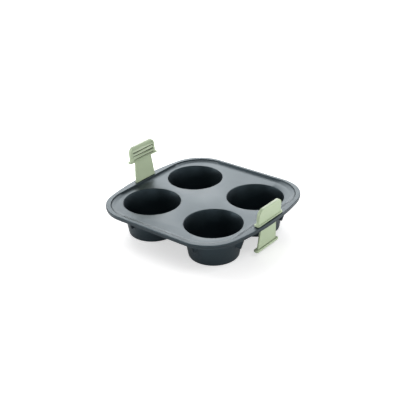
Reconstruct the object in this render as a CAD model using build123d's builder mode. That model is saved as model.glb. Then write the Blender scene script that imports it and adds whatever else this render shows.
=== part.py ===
from build123d import *
from math import cos, radians, sin, tan
import os

# A four-cup muffin mould: one soft moulding and two stiff lift handles that slide in slots in its rim.
# Millimetres. +Z is up, the table is at zero, the origin lies under the middle of the tray,
# and the handles stand on the -X and +X sides, leaning outwards.

# Tray and rim
tray_width = 205.0  # across the middle of the two handle sides
tray_depth = 200.0
tray_corner_radius = 46.0
handle_side_bow = 16.0  # the handle sides bow outwards by this, over the whole depth
deck_height = 40.5  # top of the flat deck, above the table
deck_thickness = 2.0
rim_rise = 2.35  # rim top above the deck
rim_drop = 2.9  # rim underside below the deck's top
rim_upper_height = 2.6  # upper tier of the two-tier outer edge
rim_lower_inset = 0.7  # lower tier stands back by this
rim_edge_round = 0.8
rim_lower_round = 0.5
rim_inner_round = 0.25

# Recessed deck inside the rim, whose border slopes up to it
rim_side_width = 10.2  # top of the rim, across the middle of a handle side
rim_front_width = 4.2  # and along the front and back
recess_corner_radius = 45.0
slope_rise = 1.9
slope_foot_round = 10.0
slope_foot_flat = 1.8  # flat part of the border, which the round foot of the slope may use
border_clearance = 0.2  # flat deck left between the border and a rounded cup mouth

# Cups, as wide as the deck takes between these margins and gaps
cup_margin_x = 9.5  # from a mouth to the rim
cup_margin_y = 18.5
cup_gap_x = 24.8  # between two mouths
cup_gap_y = 13.8
cup_draft = 9.53  # degrees
cup_wall = 1.9
cup_floor = 2.0
cup_foot_round = 2.0
cavity_round = 2.5
mouth_round = 1.2
under_deck_round = 1.5

# Gusset webs between the cups and the underside of the deck, one towards each outer side of the tray
gusset_thickness = 2.5
gusset_depth = 21.0  # lower edge below the deck's top
gusset_foot_reach = 6.2  # beyond the cup wall, at the lower edge
gusset_head_reach = 9.6  # beyond the cup wall, at the deck
gusset_round = 0.6

# Slots in the rim
slot_inset = 6.3  # from the tray's edge to the middle of a slot, at deck height
handle_lean = 4.8  # degrees outwards from upright
shank_clearance = 0.4  # on each side of the shank
slot_corner_round = 0.8

# Handle: a shank that slides in the slot, a foot below it, a flange and a grip above it
shank_thickness = 2.4
shank_foot_width = 36.5
shank_head_width = 29.4
shank_round = 0.5
foot_overhang = 4.5  # beyond each edge of the shank, along the slot
foot_ledge = 2.4  # and beyond each face of it
foot_thickness = 3.1
foot_round = 1.5
foot_clearance = 6.1  # above the table, with the handle all the way down
flange_overhang = 3.1  # beyond each edge of the grip, along the slot
flange_ledge = 1.55  # and beyond each face of it
flange_thickness = 1.8
flange_corner_radius = 2.6
flange_round = 0.6
grip_width = 44.8
grip_height = 20.2  # above the flange's underside
grip_thickness = 4.2
grip_corner_radius = 8.0
grip_flare_inset = 0.8  # from the flange's end to the foot of the grip's flare
grip_round = 0.7

# Finger ribs on the inner face of the grip, like the slats of a louvre
rib_count = 3
rib_pitch = 4.3
rib_border = 3.6  # from the grip's edge to the end of a rib
rib_height = 3.7
rib_relief = 0.9  # how far the slanting face of a rib falls back at its upper edge
rib_groove_width = 1.2  # dark groove along the upper edge of each rib
rib_groove_depth = 2.4
rib_drop = 4.5  # from the top of the grip to the highest rib

# Handle positions
stop_clearance = 0.15  # left between a handle and the rim at either end of its travel
left_drop = 0.3  # the left handle is drawn up to this far below the end of its travel
right_lift = 0.0  # the right handle is all the way down

overrun = 5.0  # how far every cut runs past the face that it opens

rim_top = deck_height + rim_rise
rim_bottom = deck_height - rim_drop
deck_underside = deck_height - deck_thickness
rim_tier_height = rim_top - rim_upper_height

handle_side_radius = (tray_depth**2 / 4 + handle_side_bow**2) / (2 * handle_side_bow)
recess_width = tray_width - 2 * rim_side_width
recess_depth = tray_depth - 2 * rim_front_width
mouth_radius = min(
    recess_width - 2 * cup_margin_x - cup_gap_x,
    recess_depth - 2 * cup_margin_y - cup_gap_y,
) / 4
border_width = cup_margin_x - mouth_round - border_clearance
cup_pitch_x = 2 * mouth_radius + cup_gap_x
cup_pitch_y = 2 * mouth_radius + cup_gap_y
cup_flare = tan(radians(cup_draft))
cup_base_radius = mouth_radius + cup_wall - cup_flare * deck_height

slot_offset = tray_width / 2 - slot_inset
foot_width = shank_foot_width + 2 * foot_overhang
foot_depth = shank_thickness + 2 * foot_ledge
flange_width = grip_width + 2 * flange_overhang
flange_depth = grip_thickness + 2 * flange_ledge
grip_flare_radius = flange_overhang - grip_flare_inset
rib_length = grip_width - 2 * rib_border


def cup_radius(height):
    """Outer radius of a cup at a height above the table."""
    return cup_base_radius + cup_flare * height


def rings(part, height, radius):
    """Round edges of a part at a height, with about the given radius."""
    near = cup_wall / 4
    return part.edges().filter_by(GeomType.CIRCLE).filter_by(
        lambda edge: abs(edge.center().Z - height) < near and abs(edge.radius - radius) < near
    )


def handle_plane(side, travel):
    """Plane of a handle, with side -1 for the left one and 1 for the right one. Its local X runs along
    the slot, Y up the leaning slide axis and Z outwards, from a point on that axis travel above the deck."""
    lean = radians(handle_lean)
    up = Vector(side * sin(lean), 0, cos(lean))
    out = Vector(side * cos(lean), 0, -sin(lean))
    return Plane(Vector(side * slot_offset, 0, deck_height) + up * travel, x_dir=(0, side, 0), z_dir=out)


def across(plane, rise):
    """Plane square to the slide axis of a handle's plane, rise above its origin."""
    return Plane(plane.origin + plane.y_dir * rise, x_dir=plane.x_dir, z_dir=plane.y_dir)


# Flange and foot lean with the handle, so one edge of each meets the rim first. These are the travels of
# the flange's underside, measured up the slide axis from the deck, at the two ends of the slide.
edge_drop = sin(radians(handle_lean)) / 2
rise_scale = cos(radians(handle_lean))
flange_seat = (rim_rise + stop_clearance + flange_depth * edge_drop) / rise_scale
shank_length = (
    flange_seat + (deck_height - foot_clearance - foot_depth * edge_drop) / rise_scale - foot_thickness
)
foot_stop = shank_length - (rim_drop + stop_clearance + foot_depth * edge_drop) / rise_scale
full_lift = foot_stop - flange_seat
left_lift = full_lift - left_drop

# The one-piece moulding: two-tier rim, deck with a sloping border, four tapered cups, gussets and two slots
with BuildSketch() as tray_outline:
    Rectangle(tray_width, tray_depth)
    for side in (-1, 1):
        with Locations((side * (tray_width / 2 - handle_side_radius), 0)):
            Circle(handle_side_radius, mode=Mode.INTERSECT)
    fillet(tray_outline.vertices(), tray_corner_radius)

with BuildSketch() as recess_outline:
    RectangleRounded(recess_width, recess_depth, recess_corner_radius)

# Border of the deck: half of it, swept round from one handle side to the other, and its mirror image
with BuildPart() as deck_border:
    side_x, side_y = recess_width / 2, recess_depth / 2
    with BuildLine() as border_path:
        FilletPolyline(
            (side_x, 0), (side_x, side_y), (-side_x, side_y), (-side_x, 0), radius=recess_corner_radius
        )
    with BuildSketch(Plane.XZ) as border_profile:
        with BuildLine():
            Polyline(
                (side_x - border_width, deck_height),
                (side_x - border_width + slope_foot_flat, deck_height),
                (side_x, deck_height + slope_rise),
                (side_x, deck_underside),
                (side_x - border_width, deck_underside),
                close=True,
            )
        make_face()
        slope_foot = border_profile.vertices().group_by(Axis.Y)[1].sort_by(Axis.X)[-1]
        fillet(slope_foot, slope_foot_round)
    sweep(path=border_path.wire())
    mirror(about=Plane.XZ)

# One gusset, standing out from the axis of a cup along X
with BuildPart() as gusset:
    gusset_bottom = deck_height - gusset_depth
    with BuildSketch(Plane.XZ):
        with BuildLine():
            Polyline(
                (cup_radius(gusset_bottom) - cup_wall / 2, gusset_bottom),
                (cup_radius(gusset_bottom) + gusset_foot_reach, gusset_bottom),
                (cup_radius(deck_underside) + gusset_head_reach, deck_underside),
                (cup_radius(deck_underside) - cup_wall / 2, deck_underside),
                close=True,
            )
        make_face()
    extrude(amount=gusset_thickness / 2, both=True)
    free_edges = gusset.faces().sort_by(Axis.Z)[0].edges() + gusset.faces().sort_by(Axis.X)[-1].edges()
    fillet(free_edges.filter_by(Axis.Y, reverse=True), gusset_round)

with BuildPart() as mould:
    # Two tiers of the rim, each rounded along its outer edge
    with BuildSketch(Plane.XY.offset(rim_bottom)):
        offset(tray_outline.sketch, amount=-rim_lower_inset)
    extrude(amount=rim_tier_height - rim_bottom)
    fillet(mould.faces().sort_by(Axis.Z)[0].edges(), rim_lower_round)
    with BuildSketch(Plane.XY.offset(rim_tier_height)):
        add(tray_outline.sketch)
    extrude(amount=rim_upper_height)
    fillet(mould.faces().sort_by(Axis.Z)[-1].edges(), rim_edge_round)

    # The recess goes right through first, so that the rim is a frame round the deck
    with BuildSketch(Plane.XY.offset(rim_bottom)):
        add(recess_outline.sketch)
    extrude(amount=rim_top - rim_bottom, mode=Mode.SUBTRACT)
    fillet(mould.faces().sort_by(Axis.Z)[-1].inner_wires()[0].edges(), rim_inner_round)

    # Deck: the sloping border and the flat middle
    add(deck_border.part)
    with BuildSketch(Plane.XY.offset(deck_underside)):
        offset(recess_outline.sketch, amount=-border_width)
    extrude(amount=deck_thickness)

    # Cups, solid at first and blended into the deck, then hollowed from above
    with GridLocations(cup_pitch_x, cup_pitch_y, 2, 2):
        Cone(
            cup_base_radius,
            cup_radius(deck_underside),
            deck_underside,
            align=(Align.CENTER, Align.CENTER, Align.MIN),
        )
    fillet(rings(mould, 0, cup_base_radius), cup_foot_round)
    fillet(rings(mould, deck_underside, cup_radius(deck_underside)), under_deck_round)
    with GridLocations(cup_pitch_x, cup_pitch_y, 2, 2):
        with Locations((0, 0, cup_floor)):
            Cone(
                cup_radius(cup_floor) - cup_wall,
                cup_radius(deck_height + overrun) - cup_wall,
                deck_height + overrun - cup_floor,
                align=(Align.CENTER, Align.CENTER, Align.MIN),
                mode=Mode.SUBTRACT,
            )
    fillet(rings(mould, cup_floor, cup_radius(cup_floor) - cup_wall), cavity_round)
    fillet(rings(mould, deck_height, mouth_radius), mouth_round)

    # Two gussets on every cup
    for side_x in (-1, 1):
        for side_y in (-1, 1):
            cup_place = (side_x * cup_pitch_x / 2, side_y * cup_pitch_y / 2, 0)
            with Locations(
                Location(cup_place, (0, 0, 90 - side_x * 90)),
                Location(cup_place, (0, 0, side_y * 90)),
            ):
                add(gusset.part)

    # Leaning slots, one through each handle side of the rim
    for side in (-1, 1):
        with BuildSketch(across(handle_plane(side, 0), 0)):
            RectangleRounded(
                shank_foot_width + 2 * shank_clearance,
                shank_thickness + 2 * shank_clearance,
                slot_corner_round,
            )
        extrude(amount=rim_drop + overrun, both=True, mode=Mode.SUBTRACT)


def make_handle(name, side, lift):
    """One lift handle, with its flange lift above its seat on the rim."""
    seat = handle_plane(side, flange_seat + lift)
    along = Axis(seat.origin, seat.x_dir)
    upwards = Axis(seat.origin, seat.y_dir)

    # Grip: a round-shouldered plate whose foot flares along the flange
    with BuildPart() as grip:
        with BuildSketch(seat) as grip_outline:
            Rectangle(grip_width, grip_height, align=(Align.CENTER, Align.MIN))
            fillet(grip_outline.vertices().group_by(Axis.Y)[-1], grip_corner_radius)
            Rectangle(flange_width - 2 * flange_round, flange_thickness, align=(Align.CENTER, Align.MIN))
            flange_corners = grip_outline.vertices().group_by(Axis.Y)[1]
            fillet(flange_corners.sort_by(lambda corner: abs(corner.X))[:2], grip_flare_radius)
        extrude(amount=grip_thickness / 2, both=True)
        grip_edges = grip.faces().filter_by(seat).edges()
        above_flange = flange_thickness + grip_flare_radius / 4
        fillet(grip_edges.filter_by_position(upwards, above_flange, grip_height), grip_round)

        # Finger ribs, each with a slanting face that ends in a deep groove under the rib above
        with BuildSketch(Plane(seat.origin, x_dir=seat.z_dir, z_dir=-seat.x_dir)):
            inner_face = -grip_thickness / 2
            for rib in range(rib_count):
                upper = grip_height - rib_drop - rib * rib_pitch
                lower = upper - rib_height
                with BuildLine():
                    Polyline(
                        (inner_face + rib_groove_depth, upper),
                        (inner_face - overrun, upper),
                        (inner_face - overrun, lower),
                        (inner_face, lower),
                        (inner_face + rib_relief, upper - rib_groove_width),
                        (inner_face + rib_groove_depth, upper - rib_groove_width),
                        close=True,
                    )
                make_face()
        extrude(amount=rib_length / 2, both=True, mode=Mode.SUBTRACT)

    # Flange that rests on the rim
    with BuildPart() as flange:
        with BuildSketch(across(seat, 0)):
            RectangleRounded(flange_width, flange_depth, flange_corner_radius)
        extrude(amount=flange_thickness)
        fillet(flange.faces().filter_by(across(seat, 0)).edges(), flange_round)

    # Foot that stops the handle under the rim
    with BuildPart() as foot:
        with BuildSketch(across(seat, -shank_length - foot_thickness)):
            SlotOverall(foot_width, foot_depth)
        extrude(amount=foot_thickness)
        fillet(foot.faces().filter_by(across(seat, 0)).edges(), foot_round)

    # Tapered shank between the foot and the flange
    with BuildPart() as handle:
        with BuildSketch(seat):
            with BuildLine():
                Polyline(
                    (-shank_foot_width / 2, -shank_length),
                    (shank_foot_width / 2, -shank_length),
                    (shank_head_width / 2, 0),
                    (-shank_head_width / 2, 0),
                    close=True,
                )
            make_face()
        extrude(amount=shank_thickness / 2, both=True)
        fillet(handle.faces().filter_by(seat).edges().filter_by(along, reverse=True), shank_round)
        add([grip.part, flange.part, foot.part])
    handle.part.label = name
    return handle


handles = [
    make_handle("handle_left", -1, left_lift),
    make_handle("handle_right", 1, right_lift),
]
mould.part.label = "mould"

os.makedirs("parts", exist_ok=True)
for piece in [mould, *handles]:
    export_step(piece.part, f"parts/{piece.part.label}.step")
    print(piece.part.label, "solids", len(piece.solids()), "volume", round(piece.part.volume), "mm3")
print("full lift of a handle", round(full_lift, 2), "mm")
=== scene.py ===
"""A muffin mould with two lift handles: its finishes, the studio floor, the lamps and the camera."""

import math

import bmesh
import bpy
from mathutils import Matrix, Vector


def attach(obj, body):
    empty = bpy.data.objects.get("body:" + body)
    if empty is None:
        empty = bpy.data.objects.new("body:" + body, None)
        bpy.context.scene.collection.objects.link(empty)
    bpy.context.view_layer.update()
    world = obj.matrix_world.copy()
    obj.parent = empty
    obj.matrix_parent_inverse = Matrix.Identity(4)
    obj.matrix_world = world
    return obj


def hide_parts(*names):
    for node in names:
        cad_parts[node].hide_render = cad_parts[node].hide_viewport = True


bl_info = {
    "name": "Muffin mould",
    "version": (1, 0, 0),
    "blender": (4, 5, 0),
    "location": "3D View > Sidebar > Muffin mould",
    "description": "Finishes a muffin mould and its lift handles, and sets up a studio round them",
    "category": "Object",
}

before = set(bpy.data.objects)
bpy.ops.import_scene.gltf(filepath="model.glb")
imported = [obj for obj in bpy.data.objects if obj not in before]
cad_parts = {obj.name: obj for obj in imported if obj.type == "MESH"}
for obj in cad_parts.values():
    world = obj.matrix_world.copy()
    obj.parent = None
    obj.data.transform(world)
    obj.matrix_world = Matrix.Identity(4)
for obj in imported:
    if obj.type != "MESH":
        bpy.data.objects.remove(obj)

# All lengths are in metres.

# Vertices this near to each other are one, and points this near to a plane lie in it
WELD = 1e-6
ON_PLANE = 1e-7
# Edges that turn more than this stay crisp
CRISP_ANGLE = math.radians(28)

# Finger ribs of a grip. Distances down the grip, as moulded and as finished: both edges of each groove and the foot of
# its slant
RIB_STEPS = (
    (0.0044, 0.0041),
    (0.0057, 0.0047),
    (0.0082, 0.0072),
    (0.0088, 0.00765),
    (0.0100, 0.0091),
    (0.0125, 0.0116),
    (0.0131, 0.0120),
    (0.0143, 0.0134),
    (0.0169, 0.0161),
)
RIB_HALF_LENGTH = 0.0188
# Vertices that belong to the ribs lie within this distance from the middle and this deep in the face of the grip
RIB_REACH = 0.0189
RIB_DEPTH = 0.0025
# How far down the top groove ends, and how deep its slant is left
TOP_GROOVE_END = 0.0058
TOP_GROOVE_DEPTH = 0.0009
# The groove that is added over the flange: its two edges down the grip, its depth, and how far its walls lean in
LAST_GROOVE = (0.0168, 0.0178)
LAST_GROOVE_DEPTH = 0.0011
LAST_GROOVE_DRAFT = 5e-5
# The inner face of the grip is read from the vertices this near to its top, and points this near to it lie on it
FLAT_BAND = 0.003
FLATNESS = 1e-5

# Looks: index of refraction of each finish, tint of the silicone's gloss, and strength of the moulded grain
SILICONE_IOR = 1.58
SILICONE_GLOSS = (0.62, 0.86, 1.0, 1.0)
HANDLE_IOR = 1.47
GRAIN_STRENGTH = 0.25
# Share by which the colour of the silicone varies either way, and by which the handles' falls
SILICONE_MOTTLE = 0.08
HANDLE_MOTTLE = 0.1
# Size of the flow marks in the handles, and how much lighter than their set colour the lightest is
HANDLE_FLOW = 0.018
HANDLE_LIGHTEST = 1.05
# Painted shade in the handles' crevices is darkest below this openness, and fades out with this slope above it
PAINTED_SHADE_OPENNESS = 0.4
PAINTED_SHADE_SLOPE = 3.2

FLOOR_COLOUR = (0.85, 0.85, 0.85, 1.0)
LAMP_TARGET = (0, 0, 0.04)
# Name, place, width, height and brightness of each lamp, where 1 is as bright as a white wall in plain light
LAMPS = (
    ("back_softbox", (-0.83, 1.06, 0.70), 1.3, 1.0, 5.3),
    ("left_softbox", (-1.09, -0.36, 1.00), 0.8, 1.1, 3.0),
    ("right_softbox", (1.47, 0.05, 0.35), 1.0, 0.4, 3.6),
    ("high_softbox", (0.85, -0.15, 1.27), 0.6, 0.5, 3.2),
    ("near_left_reflector", (-0.92, -1.18, 0.17), 1.6, 0.3, 6.0),
    ("far_right_reflector", (0.92, 1.18, 0.20), 1.4, 0.4, 5.6),
    ("near_reflector", (0.91, -1.17, 0.25), 1.0, 0.3, 4.3),
)
# Width of the picture that the camera's focal length is for, in millimetres, and its nearest and farthest distance
CAMERA_SENSOR = 36.0
CAMERA_CLIP = (0.01, 50.0)


class Signal:
    """One output of a node tree. Arithmetic on signals adds Math nodes, and node() adds any other kind."""

    def __init__(self, tree, socket=None):
        self.tree = tree
        self.socket = socket

    def node(self, kind, settings=None, inputs=None, output=0):
        """Add a node, set it up, fill its sockets with values or links, and return one of its outputs."""
        made = self.tree.nodes.new(kind)
        for name, value in (settings or {}).items():
            setattr(made, name, value)
        for name, value in (inputs or {}).items():
            if isinstance(value, Signal):
                self.tree.links.new(value.socket, made.inputs[name])
            else:
                made.inputs[name].default_value = value
        return Signal(self.tree, made.outputs[output])

    def math(self, operation, *values, clamp=False):
        """The result of a Math node on values or signals."""
        return self.node("ShaderNodeMath", {"operation": operation, "use_clamp": clamp}, dict(enumerate(values)))

    def __add__(self, other):
        return self.math("ADD", self, other)

    def __sub__(self, other):
        return self.math("SUBTRACT", self, other)

    def __mul__(self, other):
        return self.math("MULTIPLY", self, other)

    def __radd__(self, other):
        return self.math("ADD", other, self)

    def noise(self, place, size, detail=2.0, roughness=0.6):
        """Noise whose lumps are about size metres across, from 0 to 1."""
        return self.node(
            "ShaderNodeTexNoise",
            inputs={"Vector": place, "Scale": 1 / size, "Detail": detail, "Roughness": roughness},
        )

    def between(self, dark, light):
        """A colour between two, with this signal as the share of the second."""
        return self.node(
            "ShaderNodeMix",
            {"data_type": "RGBA"},
            {"Factor": self, 6: (*dark, 1.0), 7: (*light, 1.0)},
            output=2,
        )


def new_material(name):
    """An empty material with a surface shader, and a signal to build its node tree with."""
    material = bpy.data.materials.new(name)
    material.use_nodes = True
    tree = material.node_tree
    shader = next(node for node in tree.nodes if node.type == "BSDF_PRINCIPLED")
    return material, shader, Signal(tree)


def link(signal, shader, socket):
    """Link a signal to an input of a shader."""
    signal.tree.links.new(signal.socket, shader.inputs[socket])


def shade(colour, factor):
    """A colour made lighter or darker."""
    return tuple(min(1.0, channel * factor) for channel in colour)


def blend(first, second, share):
    """Two signals mixed, with this share of the second."""
    return first * (1 - share) + second * share


def varied(middle, pattern, spread):
    """A value that a pattern from 0 to 1 varies over a spread round its middle."""
    return middle - spread / 2 + pattern * spread


def dimple(shader, grain, depth):
    """Give a surface the shallow relief of its moulded grain."""
    inputs = {"Strength": GRAIN_STRENGTH, "Distance": depth, "Height": grain}
    link(grain.node("ShaderNodeBump", inputs=inputs), shader, "Normal")


def silicone_finish(settings):
    """Satin moulded silicone: a fine matt grain and a faint mottled bloom."""
    material, shader, tree = new_material("mould_silicone")
    place = tree.node("ShaderNodeTexCoord", output="Object")
    bloom = tree.noise(place, settings.silicone_mottle, detail=3.0)
    grain = tree.noise(place, settings.silicone_grain)
    tone = blend(bloom, grain, share=0.3)
    darkest, lightest = (shade(settings.silicone_colour, 1 + way * SILICONE_MOTTLE) for way in (-1, 1))
    link(tone.between(darkest, lightest), shader, "Base Color")
    link(varied(settings.silicone_roughness, bloom, spread=0.08), shader, "Roughness")
    dimple(shader, grain, settings.silicone_grain_depth)
    shader.inputs["IOR"].default_value = SILICONE_IOR
    shader.inputs["Specular Tint"].default_value = SILICONE_GLOSS
    return material


def handle_finish(settings):
    """Satin moulded plastic with a very fine spark-eroded grain, and shade painted into its crevices as a darker
    colour.
    """
    material, shader, tree = new_material("handle_green")
    place = tree.node("ShaderNodeTexCoord", output="Object")
    flow = tree.noise(place, HANDLE_FLOW, roughness=0.5)
    grain = tree.noise(place, settings.handle_grain)
    # Painted shade: the colour is drawn towards a dark olive where other faces are near, in grooves and inside corners
    openness = tree.node(
        "ShaderNodeAmbientOcclusion",
        {"samples": 8, "only_local": True},
        {"Distance": settings.handle_painted_shade_reach},
        output=1,
    )
    face = tree.math("MULTIPLY", openness - PAINTED_SHADE_OPENNESS, PAINTED_SHADE_SLOPE, clamp=True)
    tone = face * (1 - HANDLE_MOTTLE + blend(flow, grain, share=0.4) * HANDLE_MOTTLE)
    lightest = shade(settings.handle_colour, HANDLE_LIGHTEST)
    link(tone.between(settings.handle_painted_shade_colour, lightest), shader, "Base Color")
    link(varied(settings.handle_roughness, flow, spread=0.06), shader, "Roughness")
    dimple(shader, grain, settings.handle_grain_depth)
    shader.inputs["IOR"].default_value = HANDLE_IOR
    return material


def settle_ribs(work, settings, side):
    """Make the top groove of a grip's ribs a plain slant, draw the others up under it and cut one more below them."""
    axis = Vector((side * math.sin(settings.handle_lean), 0.0, math.cos(settings.handle_lean)))
    inwards = Vector((-side * axis.z, 0.0, abs(axis.x)))
    top = max(vert.co.dot(axis) for vert in work.verts)
    flat = max(vert.co.dot(inwards) for vert in work.verts if vert.co.dot(axis) > top - FLAT_BAND)
    first, last = RIB_STEPS[0][0], RIB_STEPS[-1][0]
    for vert in work.verts:
        down, sunk = top - vert.co.dot(axis), flat - vert.co.dot(inwards)
        if abs(vert.co.y) > RIB_REACH or not first < down < last or not -FLATNESS < sunk < RIB_DEPTH:
            continue
        if down < TOP_GROOVE_END and sunk > TOP_GROOVE_DEPTH:
            vert.co += inwards * (sunk - TOP_GROOVE_DEPTH)
        vert.co += axis * (down - graded(down, RIB_STEPS))
    bmesh.ops.dissolve_degenerate(work, edges=work.edges, dist=WELD)
    cut_last_groove(work, axis, inwards, top, flat)


def graded(value, steps):
    """The value carried over from the first to the second scale of a list of steps."""
    for (low, new_low), (high, new_high) in zip(steps, steps[1:]):
        if value <= high:
            break
    return new_low + (value - low) * (new_high - new_low) / (high - low)


def cut_last_groove(work, axis, inwards, top, flat):
    """Cut a shallow groove across the inner face of a grip, just over its flange."""
    across = Vector((0.0, 1.0, 0.0))
    upper, lower = (top - down for down in LAST_GROOVE)
    for normal, place in ((axis, upper), (axis, lower), (across, RIB_HALF_LENGTH), (across, -RIB_HALF_LENGTH)):
        parts = {part for face in faces_on(work, inwards, flat) for part in (face, *face.edges, *face.verts)}
        bmesh.ops.bisect_plane(work, geom=list(parts), plane_co=normal * place, plane_no=normal, dist=ON_PLANE)
    groove = []
    for face in faces_on(work, inwards, flat):
        middle = face.calc_center_median()
        if lower < middle.dot(axis) < upper and abs(middle.y) < RIB_HALF_LENGTH:
            groove.append(face)
    bmesh.ops.inset_region(work, faces=groove, thickness=LAST_GROOVE_DRAFT, depth=-LAST_GROOVE_DEPTH)


def faces_on(work, normal, place):
    """The faces of a mesh that lie in a plane, given by its normal and its place along it."""
    return [face for face in work.faces if all(abs(place - vert.co.dot(normal)) < FLATNESS for vert in face.verts)]


def skin(node, name, material, reshape=None):
    """A welded copy of a CAD node with smooth faces and its real edges kept crisp, to stand for it."""
    mesh = bpy.data.meshes.new(name)
    work = bmesh.new()
    work.from_mesh(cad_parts[node].data)
    bmesh.ops.remove_doubles(work, verts=work.verts, dist=WELD)
    if reshape:
        reshape(work)
    for face in work.faces:
        face.smooth = True
        face.material_index = 0
    work.to_mesh(mesh)
    work.free()
    mesh.materials.append(material)
    mesh.set_sharp_from_angle(angle=CRISP_ANGLE)
    made = bpy.data.objects.new(name, mesh)
    bpy.context.scene.collection.objects.link(made)
    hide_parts(node)
    return made


class MuffinMouldSettings(bpy.types.PropertyGroup):
    silicone_colour: bpy.props.FloatVectorProperty(
        name="Silicone colour",
        description="Colour of the moulding",
        subtype="COLOR",
        default=(0.008, 0.012, 0.015),
        min=0,
        max=1,
    )
    silicone_roughness: bpy.props.FloatProperty(
        name="Silicone roughness",
        description="How matt the moulding is",
        subtype="FACTOR",
        default=0.45,
        min=0,
        max=1,
    )
    silicone_mottle: bpy.props.FloatProperty(
        name="Silicone mottle",
        description="Size of the faint blotches in the silicone",
        unit="LENGTH",
        default=0.025,
    )
    silicone_grain: bpy.props.FloatProperty(
        name="Silicone grain",
        description="Size of the matt grain on the moulding",
        unit="LENGTH",
        default=0.0006,
    )
    silicone_grain_depth: bpy.props.FloatProperty(
        name="Silicone grain depth",
        description="Depth of the matt grain on the moulding",
        unit="LENGTH",
        default=0.00003,
    )
    handle_lean: bpy.props.FloatProperty(
        name="Handle lean",
        description="How far the lift handles lean outwards from upright",
        subtype="ANGLE",
        default=math.radians(4.8),
    )
    handle_colour: bpy.props.FloatVectorProperty(
        name="Handle colour",
        description="Colour of the two lift handles",
        subtype="COLOR",
        default=(0.45, 0.542, 0.368),
        min=0,
        max=1,
    )
    # Painted shade: the dark olive that the handles' grooves and inside corners are drawn towards
    handle_painted_shade_colour: bpy.props.FloatVectorProperty(
        name="Handle painted shade colour",
        description="Shade painted into the handles' grooves and inside corners",
        subtype="COLOR",
        default=(0.02, 0.035, 0.005),
        min=0,
        max=1,
    )
    # Painted shade: how near other faces must be for shade to be painted into a crevice
    handle_painted_shade_reach: bpy.props.FloatProperty(
        name="Handle painted shade reach",
        description="How near another face has to be for shade to be painted into a crevice",
        unit="LENGTH",
        default=0.005,
    )
    handle_roughness: bpy.props.FloatProperty(
        name="Handle roughness",
        description="How matt the handles are",
        subtype="FACTOR",
        default=0.42,
        min=0,
        max=1,
    )
    handle_grain: bpy.props.FloatProperty(
        name="Handle grain",
        description="Size of the moulded grain on the handles",
        unit="LENGTH",
        default=0.0005,
    )
    handle_grain_depth: bpy.props.FloatProperty(
        name="Handle grain depth",
        description="Depth of the moulded grain on the handles",
        unit="LENGTH",
        default=0.00002,
    )


class MuffinMouldStage(bpy.types.PropertyGroup):
    floor_size: bpy.props.FloatProperty(
        name="Floor size",
        description="Side of the studio floor",
        unit="LENGTH",
        default=8.0,
    )
    floor_brightness: bpy.props.FloatProperty(
        name="Floor brightness",
        description="How far the floor's shadows are lifted towards white",
        default=0.55,
        min=0,
        max=1,
    )
    floor_mirrored: bpy.props.FloatProperty(
        name="Mirrored floor brightness",
        description="The same for the floor as it is mirrored in the mould",
        default=0.1,
        min=0,
        max=1,
    )
    shadow_reach: bpy.props.FloatVectorProperty(
        name="Shadow reach",
        description="Distances from the middle at which the floor's shadows begin to fade and are gone",
        size=2,
        unit="LENGTH",
        default=(0.085, 0.24),
    )
    sky: bpy.props.FloatProperty(
        name="Sky",
        description="Strength of the even light from all round",
        default=0.13,
        min=0,
    )
    camera_azimuth: bpy.props.FloatProperty(
        name="Camera azimuth",
        description="Direction of the camera round the mould, from the front towards the right",
        subtype="ANGLE",
        default=math.radians(39.335),
    )
    camera_elevation: bpy.props.FloatProperty(
        name="Camera elevation",
        description="Angle of the camera above the table",
        subtype="ANGLE",
        default=math.radians(27.044),
    )
    camera_roll: bpy.props.FloatProperty(
        name="Camera roll",
        description="Tilt of the picture",
        subtype="ANGLE",
        default=math.radians(-1.627),
    )
    camera_distance: bpy.props.FloatProperty(
        name="Camera distance",
        description="From the camera to the point that it looks at",
        unit="LENGTH",
        default=1.0721,
    )
    camera_target: bpy.props.FloatVectorProperty(
        name="Camera target",
        description="The point that the camera looks at",
        subtype="TRANSLATION",
        unit="LENGTH",
        default=(-0.00209, -0.00496, 0.0405),
    )
    camera_lens: bpy.props.FloatProperty(
        name="Camera lens",
        description="Focal length, in millimetres on a picture 36 mm wide",
        default=78.516,
    )


class MUFFINMOULD_OT_moulding(bpy.types.Operator):
    """Give the one-piece silicone moulding its satin finish"""

    bl_idname = "muffin_mould.moulding"
    bl_label = "Moulding"

    def execute(self, context):
        made = skin("mould", "moulding", silicone_finish(context.scene.muffin_mould))
        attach(made, "tray")
        return {"FINISHED"}


class MUFFINMOULD_OT_handles(bpy.types.Operator):
    """Give the two lift handles their moulded green finish"""

    bl_idname = "muffin_mould.handles"
    bl_label = "Lift handles"

    def execute(self, context):
        settings = context.scene.muffin_mould
        finish = handle_finish(settings)
        for side, way in (("left", -1), ("right", 1)):
            made = skin(
                f"handle_{side}",
                f"lift_handle_{side}",
                finish,
                lambda work, way=way: settle_ribs(work, settings, way),
            )
            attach(made, f"{side}_handle")
        return {"FINISHED"}


def facing(place, target, roll=0.0):
    """Matrix of a lamp or camera at a place, looking at a target."""
    back = (Vector(place) - Vector(target)).normalized()
    turn = back.to_track_quat("Z", "Y").to_matrix().to_4x4()
    return Matrix.Translation(place) @ turn @ Matrix.Rotation(roll, 4, "Z")


def lamp(name, place, width, height, brightness):
    """Add a soft rectangular lamp that faces the mould."""
    data = bpy.data.lights.new(name, "AREA")
    data.shape = "RECTANGLE"
    data.size, data.size_y = width, height
    data.energy = brightness * math.pi * width * height
    made = bpy.data.objects.new(name, data)
    made.matrix_world = facing(place, LAMP_TARGET)
    bpy.context.scene.collection.objects.link(made)


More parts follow.
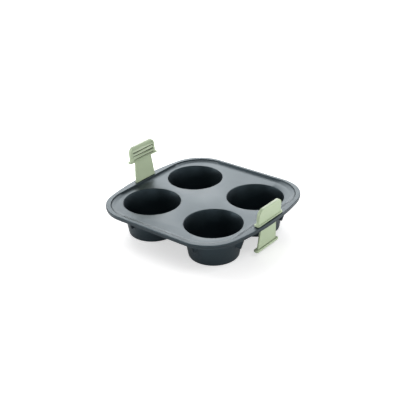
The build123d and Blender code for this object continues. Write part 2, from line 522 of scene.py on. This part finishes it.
class MUFFINMOULD_OT_studio(bpy.types.Operator):
    """Set up the white floor, the soft lamps and the camera"""

    bl_idname = "muffin_mould.studio"
    bl_label = "Studio"

    def execute(self, context):
        stage = context.scene.muffin_mould_stage
        self.floor(stage)
        self.sky(context.scene, stage)
        for row in LAMPS:
            lamp(*row)
        self.camera(context.scene, stage)
        context.scene.view_settings.view_transform = "Standard"
        return {"FINISHED"}

    def floor(self, stage):
        """A matt floor that glows to white away from the mould and keeps a softened shadow under it."""
        mesh = bpy.data.meshes.new("floor")
        work = bmesh.new()
        bmesh.ops.create_grid(work, x_segments=1, y_segments=1, size=stage.floor_size / 2)
        work.to_mesh(mesh)
        work.free()
        floor = bpy.data.objects.new("floor", mesh)
        bpy.context.scene.collection.objects.link(floor)
        material, shader, tree = new_material("floor_white")
        shader.inputs["Roughness"].default_value = 1.0
        shader.inputs["Specular IOR Level"].default_value = 0.0
        shader.inputs["Base Color"].default_value = FLOOR_COLOUR
        place = tree.node("ShaderNodeTexCoord", output="Object")
        away = tree.node("ShaderNodeVectorMath", {"operation": "LENGTH"}, {0: place}, output=1)
        clear = tree.node(
            "ShaderNodeMapRange",
            {"interpolation_type": "SMOOTHSTEP"},
            {"Value": away, "From Min": stage.shadow_reach[0], "From Max": stage.shadow_reach[1]},
        )
        glow = 0.0
        for rays, shaded in (("Is Camera Ray", stage.floor_brightness), ("Is Glossy Ray", stage.floor_mirrored)):
            glow = glow + tree.node("ShaderNodeLightPath", output=rays) * (clear * (1.0 - shaded) + shaded)
        link(glow, shader, "Emission Color")
        shader.inputs["Emission Strength"].default_value = 1.0
        mesh.materials.append(material)

    def sky(self, scene, stage):
        """A weak, even light from all round, which the camera sees as white."""
        world = bpy.data.worlds.new("studio")
        world.use_nodes = True
        scene.world = world
        tree = Signal(world.node_tree)
        background = next(node for node in world.node_tree.nodes if node.type == "BACKGROUND")
        rays = tree.node("ShaderNodeLightPath", output="Is Camera Ray")
        link(rays * (1.0 - stage.sky) + stage.sky, background, "Strength")
        background.inputs["Color"].default_value = (1.0, 1.0, 1.0, 1.0)

    def camera(self, scene, stage):
        """The camera, where the photo was taken from."""
        azimuth, elevation = stage.camera_azimuth, stage.camera_elevation
        level = math.cos(elevation)
        back = Vector((math.sin(azimuth) * level, -math.cos(azimuth) * level, math.sin(elevation)))
        target = Vector(stage.camera_target)
        data = bpy.data.cameras.new("camera")
        data.sensor_width = CAMERA_SENSOR
        data.lens = stage.camera_lens
        data.clip_start, data.clip_end = CAMERA_CLIP
        made = bpy.data.objects.new("camera", data)
        made.matrix_world = facing(target + back * stage.camera_distance, target, stage.camera_roll)
        scene.collection.objects.link(made)
        scene.camera = made


class MUFFINMOULD_PT_panel(bpy.types.Panel):
    bl_label = "Muffin mould"
    bl_idname = "MUFFINMOULD_PT_panel"
    bl_space_type = "VIEW_3D"
    bl_region_type = "UI"
    bl_category = "Muffin mould"

    def draw(self, context):
        for operator in OPERATORS:
            self.layout.operator(operator.bl_idname)
        for group in (context.scene.muffin_mould, context.scene.muffin_mould_stage):
            column = self.layout.column(align=True)
            for name in group.bl_rna.properties.keys():
                if name not in ("rna_type", "name"):
                    column.prop(group, name)


OPERATORS = (MUFFINMOULD_OT_moulding, MUFFINMOULD_OT_handles, MUFFINMOULD_OT_studio)
CLASSES = (MuffinMouldSettings, MuffinMouldStage, *OPERATORS, MUFFINMOULD_PT_panel)


def register():
    for kind in CLASSES:
        bpy.utils.register_class(kind)
    bpy.types.Scene.muffin_mould = bpy.props.PointerProperty(type=MuffinMouldSettings)
    bpy.types.Scene.muffin_mould_stage = bpy.props.PointerProperty(type=MuffinMouldStage)


def unregister():
    del bpy.types.Scene.muffin_mould_stage
    del bpy.types.Scene.muffin_mould
    for kind in reversed(CLASSES):
        bpy.utils.unregister_class(kind)


def main():
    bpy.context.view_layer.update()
    register()
    bpy.ops.muffin_mould.moulding()
    bpy.ops.muffin_mould.handles()
    bpy.ops.muffin_mould.studio()


if __name__ == "__main__":
    main()
